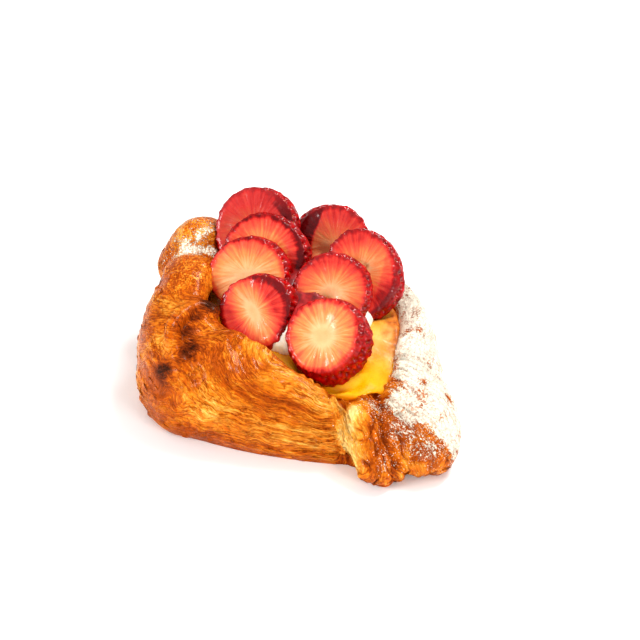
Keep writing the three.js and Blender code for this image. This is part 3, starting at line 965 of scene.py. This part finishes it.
class Slice:
    """One slice's points: in its own axes, round its middle, how far out they are, and where its skin is."""

    def __init__(self, node, number, mesh):
        self.key, self.number = node.removeprefix("strawberry_"), number
        self.looks = SLICE_LOOKS[self.key]
        self.points, self.normal = coords(mesh), normals(mesh)
        self.middle, self.axes = slice_frame(node)
        local = (self.points - self.middle) @ self.axes.T
        face = self.normal @ self.axes[2] > 0.85
        self.local = local = local - [*local[face, :2].mean(0), 0]
        self.angle, self.radius = np.arctan2(local[:, 1], local[:, 0]), np.hypot(local[:, 0], local[:, 1])
        self.share = self.radius / outline(local[face])(self.angle)  # 0 in the middle, 1 at the edge
        self.depth = local[:, 2] / np.ptp(local[:, 2])
        self.skin = step(1 - np.abs(self.normal @ self.axes[2]), 0.16, 0.34)
        self.fibres = np.stack([np.cos(self.angle) * 9, np.sin(self.angle) * 9, self.share * 1.4 + number * 9], -1)

    def heart(self):
        """How far each point is from the heart of the flesh: 0 in its middle, 1 where it ends."""
        x, y, drawn, turn, _, size = self.looks["heart"]
        u, v = self.local[:, 0] / MM - x, self.local[:, 1] / MM - y
        turn = math.radians(turn)
        long, short = u * math.cos(turn) + v * math.sin(turn), v * math.cos(turn) - u * math.sin(turn)
        return np.hypot(long / drawn, short) / size

    def shade(self):
        """How much darker each point is than plain flesh."""
        shade = np.zeros(len(self.points))
        for bearing, start, amount in self.looks.get("shades", ()):
            turn = math.radians(bearing)
            side = self.local[:, 0] * math.cos(turn) + self.local[:, 1] * math.sin(turn)
            shade = shade + amount * step(side / MM / SHADE_SPAN, start, start + 0.08)
        for bearing, reach, start, amount in self.looks.get("crescents", ()):
            aside = turn_from(self.angle, math.radians(bearing))
            shade = shade + amount * step(self.share, start, start + 0.1) * hump(aside, reach)
        return shade

    def hollow(self):
        """Where the slice is hollow, and how deep it is there (mm)."""
        x, y, wide, deep = HOLLOWS.get(self.key, (0, 0, 1, 0))
        hollow = hump(np.hypot(self.local[:, 0] / MM - x, self.local[:, 1] / MM - y), wide) * (1 - self.skin)
        return hollow * (deep > 0), deep * hollow * (self.normal @ self.axes[2] > 0)

    def tone(self, heart, shade, hollow):
        """How red the flesh is: pale at its heart, with a ring round the core, and dark at its rim."""
        pale = self.looks["heart"][4]
        uneven = noise(np.stack([self.angle * 7, self.angle * 0, self.share * 2], -1), 94)
        rim = step(self.share + 0.04 * uneven, 0.88, 1)
        core = 0.05 * hump(heart, 0.12) - 0.07 * hump(heart - 0.22, 0.07)
        flesh = 0.72 * (1 - (1 - np.clip(heart, 0, 1) ** 1.6) * pale)
        return flesh + 0.24 * rim + core + self.looks.get("base", 0) + shade - 0.35 * hollow

    def relief(self, seeds):
        """How far each point stands out or in (mm): uneven, fibrous flesh, and skin dimpled round its seeds."""
        flesh = 0.1 * noise(self.fibres * 1.5, 91) * (1 - self.skin) * step(self.share, 0.15, 0.5)
        uneven = 0.4 * noise(self.local / MM / 6 + self.number * 5, 92)
        nearest = np.full(len(self.points), 1.0)
        for seed in seeds:
            nearest = np.minimum(nearest, np.linalg.norm(self.points - self.points[seed], axis=1))
        dimples = (0.35 - 0.95 * hump(nearest, 0.95 * MM)) * self.skin
        lower_right = hump(turn_from(self.angle, math.radians(-55)), 0.5) * step(self.share, 0.5, 1)
        return flesh + uneven + dimples + self.looks.get("bulge", 0) * lower_right

    def shaped(self):
        """The slice's points where its looks differ from its solid: tapered, stretched and leaning."""
        points, axes = self.points, self.axes
        if "taper" in self.looks:
            front = step(self.depth, -0.45, 0.5)[:, None]
            corner = (axes[1] - axes[0]) * TAPER_CORNER + self.middle + axes[2] * self.local[:, 2:]
            points = points + (corner - points) * self.looks["taper"] * front
        if "stretch" in self.looks:
            bearing, out = self.looks["stretch"]
            outward = self.local[:, :2] / np.maximum(self.radius, MM)[:, None] @ axes[:2]
            aside = turn_from(self.angle, math.radians(bearing))
            points = points + outward * (out * MM * hump(aside, 0.8) * np.clip(self.share, 0, 1) ** 2)[:, None]
        behind = step(-self.depth, -0.35, 0.5) * step(self.local[:, 0] / MM, -4, 8)
        return points + axes[0] * self.looks.get("lean", 0) * MM * behind[:, None]


def make_slice(node, number):
    """One slice, its flesh fibrous and its skin dimpled round the seeds, and where the seeds go."""
    piece = fine_copy(node, f"{node}_fruit", voxel=0.36 * MM, even=2)
    fruit = Slice(node, number, piece.data)
    seeds = seed_places(fruit.points, fruit.skin, np.random.default_rng(SEED + number))
    heart, shade = fruit.heart(), fruit.shade()
    hollow, deep = fruit.hollow()
    place(piece.data, fruit.shaped() + fruit.normal * (fruit.relief(seeds) - deep)[:, None] * MM)
    # pinker, purplish flesh: partly the fruit's own tint, partly a painted sheen of its glaze; less where a side is
    # darker
    pink_and_sheen = fruit.looks.get("pink_and_sheen", 0) * (0.5 + 0.5 * step(fruit.share, 0.2, 0.8))
    for key, values in (
        ("place", fruit.local / MM + number * 31.0),  # set apart, so that no two slices have the same pattern
        ("tone", fruit.tone(heart, shade, hollow)),
        ("streaky", step(heart, 0.12, 0.4) * (1 - 0.6 * fruit.skin)),
        ("skin", fruit.skin),
        ("pink_and_sheen", pink_and_sheen * (1 - np.clip(2 * shade, 0, 1))),
        ("fibres", fruit.fibres),
    ):
        add_attribute(piece.data, key, values)
    return piece, [(coords(piece.data)[seed], fruit.normal[seed], fruit.axes[2]) for seed in seeds]


def seed_mesh(all_spots):
    """One joined mesh of every seed: a flat drop lying in its dimple, its point along the slice's axis."""
    rng = np.random.default_rng(SEED)
    rings, sides = 5, 8
    half_wide, half_long, half_thick = 0.33, 0.58, 0.2  # mm
    shape, faces = [], []
    for ring in range(rings + 1):
        t = ring / rings
        wide = math.sin(math.pi * min(max(t, 0.02), 0.98)) * (1.15 - 0.5 * t)
        for side in range(sides):
            a = side / sides * 2 * math.pi
            shape.append((wide * half_wide * math.cos(a), half_long * (2 * t - 1), wide * half_thick * math.sin(a)))
    for ring in range(rings):
        here, above = ring * sides, (ring + 1) * sides
        for side in range(sides):
            after = (side + 1) % sides
            faces.append((here + side, here + after, above + after, above + side))
    shape, faces = np.array(shape) * MM, np.array(faces)
    points, quads = [], []
    for spot, outward, facing in all_spots:
        long = facing + rng.uniform(-0.25, 0.25) * np.cross(outward, facing)
        long = long - outward * (long @ outward)
        long /= np.linalg.norm(long)
        wide = np.cross(long, outward)
        size = rng.uniform(0.85, 1.15)
        quads.append(faces + len(points) * len(shape))
        points.append(spot + shape @ np.stack([wide, long, outward]) * size)
    return np.concatenate(points), np.concatenate(quads)


# ---------------- the scene


def put_up(name, data, at, facing):
    """A light or a camera at a place, facing one way."""
    made = bpy.data.objects.new(name, data)
    made.location = at
    made.rotation_mode = "QUATERNION"
    made.rotation_quaternion = facing.to_track_quat("-Z", "Y")
    bpy.context.scene.collection.objects.link(made)
    return made


def make_lights():
    """Soft light from all sides, a large key from the far right, and fills at the left and at the near right."""
    world = bpy.data.worlds.new("studio")
    bpy.context.scene.world = world
    world.use_nodes = True
    world.node_tree.nodes["Background"].inputs[0].default_value = (1, 1, 1, 1)
    world.node_tree.nodes["Background"].inputs[1].default_value = 0.55
    for name, at, size, power in (
        ("key", (0.3, 0.25, 0.65), 0.25, 3.8),
        ("left_fill", (-0.7, -0.35, 0.42), 0.3, 3.6),
        ("near_fill", (0.5, -0.55, 0.32), 0.25, 2.4),
    ):
        data = bpy.data.lights.new(name, "AREA")
        data.size, data.energy = size, power
        put_up(name, data, Vector(at), Vector((0, 0, 0.03)) - Vector(at))


def make_floor():
    """A wide pale table top, which isn't part of the pastry."""
    half = 3.0
    corners = [(-half, -half, 0), (half, -half, 0), (half, half, 0), (-half, half, 0)]
    floor = new_object("floor", corners, [(0, 1, 2, 3)])
    g = Graph("pale_floor")
    colour = g.ramp(g.noise(g.where(), 4.0), (0.0, (250, 250, 250)), (1.0, (255, 255, 255)))
    g.set(base_color=colour, roughness=0.9)
    floor.data.materials.append(g.material)


def make_camera():
    """The photo's view: from the front, 38 degrees above the table."""
    elevation, distance = math.radians(38), 0.56
    target = Vector((8.85, -1.1, 34)) * MM
    back = Vector((0, -math.cos(elevation), math.sin(elevation)))
    data = bpy.data.cameras.new("camera")
    data.lens, data.sensor_width = 87, 36
    bpy.context.scene.camera = put_up("camera", data, target + back * distance, -back)


dough, *grids = make_dough()
crust = crust_material()
finish_piece(dough, crust, "crust", "pastry_dough")
finish_piece(make_flakes(*grids), crust, "crust")
finish_piece(sugar_grains(dough), sugar_material(), "cream")
custard = fine_copy("custard", "custard_filling", voxel=0.6 * MM)
spread_custard(custard.data)
finish_piece(custard, custard_material(), "custard", "custard")
cream = fine_copy("whipped_cream", "cream_mound", voxel=0.5 * MM)
settle_cream(cream.data)
finish_piece(cream, cream_material(), "cream", "whipped_cream")
fruit = strawberry_material()
all_seeds = []
for number, node in enumerate(SLICES):
    piece, seeds = make_slice(node, number)
    finish_piece(piece, fruit, "strawberry", node)
    all_seeds += seeds
finish_piece(new_object("strawberry_seeds", *seed_mesh(all_seeds)), seed_material(), "strawberry")
make_floor()
make_lights()
make_camera()
bpy.context.scene.view_settings.view_transform = "Standard"
bpy.context.scene.view_settings.look = "Medium High Contrast"

bpy.context.view_layer.update()
